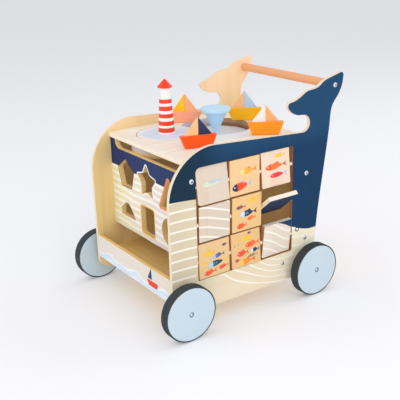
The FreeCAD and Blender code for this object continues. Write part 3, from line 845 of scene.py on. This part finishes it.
# The base is painted dark brown as shade, like the ring.
dress("well_base", wood("base_wood", 1, rgb(150, 118, 84), 2))
dress("floor_board", wood("floor_wood", 0, rgb(255, 220, 144), 2))
dress("back_panel", wood("back_wood", 2, rgb(255, 222, 158), 1))
dress("handle_bar", wood("handle_wood", 0, rgb(240, 172, 120), None, 0.42, 0.07, 0.2))
dress("tile_rods", wood("rod_wood", 1, rgb(240, 214, 180)))
dress("tile_spacers", wood("spacer_wood", 1, rgb(248, 226, 204)))
dress("tile_rod_keepers", wood("keeper_wood", 1, PLYWOOD))
dress("axle_sleeves", wood("sleeve_wood", 0, PLYWOOD))
dress("front_dowels", wood("dowel_wood", 0, PLYWOOD))


# Lower and upper end of each red band, above the foot of the tower.
RED_BANDS = ((5, 15.5), (21, 31), (38.5, 48), (55, 65.5), (72, 81.5))


def tower_paint():
    """White lighthouse with red bands."""
    p = Paint("tower_paint", rough=0.35, coat=0.25)
    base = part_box("lighthouse_tower")[0].z / MM
    h = p.z - base
    grain = p.noise((120.0, 120.0, 14.0), 3.0)
    colour = p.shade(rgb(243, 242, 240), grain, 0.03)
    red = p.shade(rgb(238, 60, 16), grain, 0.06)
    for low, high in RED_BANDS:
        inside = (h - (low + high) / 2).size().below((high - low) / 2, 0.4)
        colour = p.mix(inside, colour, red)
    return p.finish(colour, grain, 0.06)


def gloss(name, colour, axis=1):
    """Painted wood: even colour with faint fibres and a slightly uneven film."""
    p = Paint(name, rough=0.35, coat=0.2)
    fine = [150.0, 150.0, 150.0]
    fine[axis] = 12.0
    grain = p.noise(tuple(fine), 3.0)
    cloud = p.noise((18.0, 18.0, 18.0), 2.0)
    return p.finish(p.shade(colour, grain * 0.6 + cloud * 0.4, 0.06), grain, 0.08)


dress("lighthouse_tower", tower_paint())
dress("lighthouse_roof", gloss("roof_paint", rgb(244, 56, 2), axis=2))
dress("funnel_knob", gloss("funnel_paint", SKY, axis=2))

# ---- boats ----
NATURAL = rgb(246, 194, 140)
# Each boat: degrees that it is turned at rest, as in the CAD, then the colours of the hull and of the
# front and rear half of the sail.
FLEET = {"red": (17.0, rgb(254, 86, 8), NATURAL, rgb(30, 50, 88)),
         "orange": (34.0, rgb(254, 150, 14), rgb(238, 236, 232), rgb(246, 176, 116)),
         "yellow": (38.0, rgb(255, 188, 0), NATURAL, rgb(182, 212, 234)),
         "pink": (42.0, rgb(255, 172, 134), rgb(254, 198, 22), rgb(250, 182, 130))}


def sail_paint(name, node, turn, left, right):
    """Sail board in two colours that meet at the mast line."""
    x, a, _ = middle(node)
    t = math.radians(turn)
    p = Paint(name, rough=0.42, coat=0.1)
    along = (p.x - x) * math.sin(t) + (p.a - a) * math.cos(t)
    streak = p.noise((200.0, 200.0, 16.0), 3.0)
    face = p.mix(along.above(0.0, 0.4), p.shade(left, streak, 0.07), p.shade(right, streak, 0.07))
    seam = along.size().below(0.5, 0.4)
    return p.finish(p.mix(seam * 0.35, face, rgb(120, 80, 50)), streak, 0.1)


for colour, (turn, hull, left, right) in FLEET.items():
    dress("boat_%s_hull" % colour, gloss("hull_" + colour, hull))
    node = "boat_%s_sail" % colour
    dress(node, sail_paint("sail_" + colour, node, turn, left, right))


# ---- loose blocks ----
def block_paint(name, side, top, stripes=False):
    """Block with stained sides and its own colour, plain or striped, on top."""
    p = Paint(name, rough=0.45, coat=0.1)
    sides, streak = wood_colour(p, 0, side, 0.1)
    face, _ = wood_colour(p, 0, top, 0.06)
    if stripes:
        line = ((p.x * 0.5 + p.a * 0.86) / 7.0).do("FRACT").above(0.55, 0.1)
        face = p.mix(line * 0.85, face, CREAM)
    return p.finish(p.mix(p.nz.above(0.8, 0.1), sides, face), streak, 0.1)


TAN = rgb(222, 138, 78)
dress("block_star", block_paint("block_star_paint", TAN, rgb(224, 158, 112), True))
dress("block_pentagon", block_paint("block_pentagon_paint", TAN, rgb(232, 170, 118)))
dress("block_rectangle", block_paint("block_rectangle_paint", TAN, rgb(240, 170, 108)))
dress("block_wave", block_paint("block_wave_paint", rgb(152, 204, 230), rgb(166, 212, 236)))
dress("block_triangle", block_paint("block_triangle_paint", rgb(252, 104, 26), rgb(254, 136, 30)))
dress("block_disc", block_paint("block_disc_paint", TAN, rgb(236, 182, 128)))

DARK_INK = rgb(52, 48, 52)
RING_INK = rgb(250, 240, 226)


def stamp_on(node):
    """Print for the top of a block."""
    x, a, _ = middle(node)
    return Print(at(x, a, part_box(node)[1].z / MM), (1, 0, 0), (0, 1, 0))


def arc(r, v, start, step):
    """Eleven points on a circle of radius r round (0, v); start and step in degrees."""
    turns = [math.radians(start + step * i) for i in range(11)]
    return [(r * math.cos(t), v + r * math.sin(t)) for t in turns]


def bar(sheet, half_width, low, high):
    """Upright printed bar in the middle of the sheet."""
    corners = ((-half_width, high), (-half_width, low), (half_width, low), (half_width, high))
    sheet.shape(DARK_INK, [Vector(q) for q in corners])


def anchor(sheet):
    """Printed anchor: ring, shank, stock and curved arms."""
    sheet.band(DARK_INK, ring_points(0, 15, 2.2, 16), ring_points(0, 15, 4.2, 16))
    bar(sheet, 1.1, -15, 11)
    bar(sheet, 7, 5.3, 7.5)
    under, over = arc(14, -2, 200, 14), arc(11.6, -1, 205, 13)
    sheet.shape(DARK_INK, [Vector(q) for q in under + over[::-1]])


stamp = stamp_on("block_rectangle")
little_boat(stamp, 0, -10, 40, rgb(250, 180, 40), rgb(150, 186, 216), WHITE)
stamp.done("print_block_rectangle", "block_rectangle", "block_wood")
stamp = stamp_on("block_pentagon")
anchor(stamp)
stamp.done("print_block_pentagon", "block_pentagon", "block_wood")
stamp = stamp_on("block_disc")
for r in (7, 15, 23):
    stamp.band(RING_INK, ring_points(0, 0, r, 36), ring_points(0, 0, r + 1.8, 36))
stamp.done("print_block_disc", "block_disc", "block_wood")


# ---- wheels and ribbed tyres ----
def tyre_paint():
    """Dark rubber with fine grit and patches of dust."""
    p = Paint("tyre_rubber", rough=0.72)
    speck = p.noise((500.0, 500.0, 500.0), 3.0)
    dust = p.noise((24.0, 24.0, 24.0), 3.0)
    colour = p.mix(dust.above(0.5, 0.4) * 0.35, rgb(50, 56, 58), rgb(74, 80, 82))
    return p.finish(p.shade(colour, speck, 0.12), speck, 0.12)


RUBBER = tyre_paint()
AROUND = 288       # points round a tyre; four of them to each rib and groove
GROOVE = 0.55      # depth of the grooves
SLANT = 3.0        # ribs that a groove crosses on its way over the tread
TREAD_ROWS = 11    # rings of points across the tread


def tyre_profile(width, radius):
    """Rows across a tyre: distance from its inner side, radius, and whether the row lies in the tread."""
    inner = radius - 3.0
    shoulder = ((0.0, inner), (0.0, radius - 1.6), (0.25, radius - 0.6), (0.9, radius - 0.12))
    near = [(across, r, False) for across, r in shoulder]
    far = [(width - across, r, False) for across, r in reversed(shoulder)]
    margin = 1.6
    steps = TREAD_ROWS - 1
    tread = [(margin + (width - 2 * margin) * k / steps, radius, True) for k in range(TREAD_ROWS)]
    return near + tread + far


def tyre(name):
    """Thin rubber tyre with slanting ribs cut in its tread."""
    low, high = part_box(name)
    x0 = low.x / MM
    width = high.x / MM - x0
    centre = (low + high) / 2 / MM
    mesh = bmesh.new()
    rims = []
    for across, r, tread in tyre_profile(width, (high.z - low.z) / 2 / MM):
        rim = []
        for k in range(AROUND):
            t = 2 * math.pi * k / AROUND
            grooved = tread and (k / 4 + across / width * SLANT) % 1.0 < 0.5
            reach = r - GROOVE if grooved else r
            spot = (x0 + across, centre.y + reach * math.cos(t), centre.z + reach * math.sin(t))
            rim.append(mesh.verts.new(Vector(spot) * MM))
        rims.append(rim)
    for i, rim in enumerate(rims):
        following = rims[(i + 1) % len(rims)]
        for k in range(AROUND):
            j = (k + 1) % AROUND
            mesh.faces.new((rim[k], rim[j], following[j], following[k]))
    made = add_object("ribbed_" + name, mesh, [RUBBER])
    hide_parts(name)
    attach(made, name.replace("tyre", "wheel"))


def wheel_paint():
    """Pale blue stain, slightly cloudy."""
    p = Paint("wheel_paint", rough=0.42, coat=0.15)
    grain = p.noise((40.0, 14.0, 160.0), 3.0)
    cloud = p.noise((14.0, 14.0, 14.0), 2.0)
    tone = grain * 0.5 + cloud * 0.5
    return p.finish(p.shade(rgb(194, 211, 221), tone, 0.05), grain, 0.06)


WHEEL = wheel_paint()
for end in ("front", "rear"):
    for hand in ("left", "right"):
        dress("wheel_%s_%s" % (end, hand), WHEEL)
        tyre("tyre_%s_%s" % (end, hand))


# ---- metal ----
def brushed(name, rough, metal):
    """A metal and the fine noise that brushes it."""
    p = Paint(name, rough=rough, metal=metal)
    return p, p.noise((900.0, 900.0, 900.0), 2.0)


def steel():
    """Bright zinc-plated steel."""
    p, brush = brushed("zinc_steel", 0.32, 0.9)
    return p.finish(p.shade(rgb(200, 202, 206), brush, 0.12), brush, 0.06)


STEEL = steel()
for node in ("body_screws", "gear_pins", "boat_pivots", "axles"):
    dress(node, STEEL)


DOME_R = 2.6   # radius of the dome on an axle end


def hub_paint():
    """Axle ends: a bright dome in a washer darkened with painted shade."""
    p, brush = brushed("hub_steel", 0.4, 0.7)
    from_axle = []
    for node in ("wheel_front_left", "wheel_rear_left"):
        _, a, z = middle(node)
        from_axle.append(((p.a - a) * (p.a - a) + (p.z - z) * (p.z - z)).do("SQRT"))
    far = from_axle[0].do("MINIMUM", from_axle[1])
    # Round the dome the washer is painted dark grey as shade.
    colour = p.mix(far.above(DOME_R, 0.4), rgb(226, 234, 242), rgb(150, 160, 170))
    return p.finish(p.shade(colour, brush, 0.12), brush, 0.06)


dress("axle_ends", hub_paint())
dress("gear_washers", gloss("washer_plastic", rgb(222, 222, 216)))

# Screw heads of the left panel as in the CAD: distance behind the front edge and height.
SCREWS = ((55.9, 336.1), (371.5, 290.3), (371.5, 131.2), (60.0, 84.5), (302.8, 84.5), (453.5, 481.5))
SOCKET_R = 2.2
RIM_R = 5.0
RING_MARK = (346, 159)   # small dark ring printed where the navy meets the sand


def side_marks():
    """Painted rims of the screws, dark hexagons in their sockets as painted shade, and the small printed
    ring.
    """
    marks = Print(at(HALF, 0, 0), (0, 1, 0), (0, 0, 1))
    for a, z in SCREWS:
        rim = WHITE if z > 250 else rgb(178, 180, 176)
        marks.band(rim, ring_points(a, z, SOCKET_R, 24), ring_points(a, z, RIM_R, 24), 10)
        # Dark hexagon in each socket: painted shade of the recess.
        marks.shape(rgb(70, 74, 80), ring_points(a, z, SOCKET_R, 6, 0.3), 12)
    marks.shape(rgb(46, 46, 50), ring_points(*RING_MARK, 6.0, 24), 0)
    marks.shape(WHITE, ring_points(*RING_MARK, 3.2, 24), 1)
    marks.done("print_side_marks", "chassis", "steel")


side_marks()

# ---- camera, light and floor ----
# Seen from the walker's front left and a little above.
CAMERA_PLACE = (1.3575, -0.9552, 0.8106)
CAMERA_TURN = (70.204, 1.584, 55.007)

camera_data = bpy.data.cameras.new("camera")
camera_data.lens = 66.73
camera_data.sensor_width = 36
camera = bpy.data.objects.new("camera", camera_data)
bpy.context.scene.collection.objects.link(camera)
camera.location = CAMERA_PLACE
camera.rotation_euler = [math.radians(t) for t in CAMERA_TURN]
bpy.context.scene.camera = camera


def lamp(name, place, target, size, power):
    """Soft rectangular studio light aimed at a point."""
    data = bpy.data.lights.new(name, "AREA")
    data.size = size
    data.energy = power
    made = bpy.data.objects.new(name, data)
    bpy.context.scene.collection.objects.link(made)
    made.location = place
    made.rotation_euler = (Vector(target) - Vector(place)).to_track_quat("-Z", "Y").to_euler()


lamp("front", (-0.1, -2.6, 0.45), (0, 0, 0.2), 1.6, 7)
lamp("key", (-0.9, -2.0, 2.3), (0, 0, 0.2), 2.4, 15)
lamp("fill", (2.4, -0.6, 1.3), (0, 0, 0.15), 2.6, 28)
lamp("back", (0.4, 2.2, 1.9), (0, 0, 0.25), 2.2, 14)

world = bpy.data.worlds.new("studio")
bpy.context.scene.world = world
world.use_nodes = True
world.node_tree.nodes["Background"].inputs[0].default_value = rgb(246, 247, 250)
world.node_tree.nodes["Background"].inputs[1].default_value = 0.76

floor_mesh = bmesh.new()
bmesh.ops.create_grid(floor_mesh, x_segments=1, y_segments=1, size=30)
floor_data = bpy.data.meshes.new("studio_floor")
floor_mesh.to_mesh(floor_data)
floor_mesh.free()
floor = bpy.data.objects.new("studio_floor", floor_data)
bpy.context.scene.collection.objects.link(floor)
p = Paint("studio_floor", rough=0.8)
speck = p.noise((300.0, 300.0, 300.0), 2.0)
# The floor glows faintly, a painted light that lifts the shadows under the walker.
p.shader.inputs["Emission Color"].default_value = rgb(238, 238, 240)
p.shader.inputs["Emission Strength"].default_value = 0.23
floor_data.materials.append(p.finish(p.shade(rgb(223, 223, 226), speck, 0.01)))
bpy.context.scene.view_settings.view_transform = "Standard"
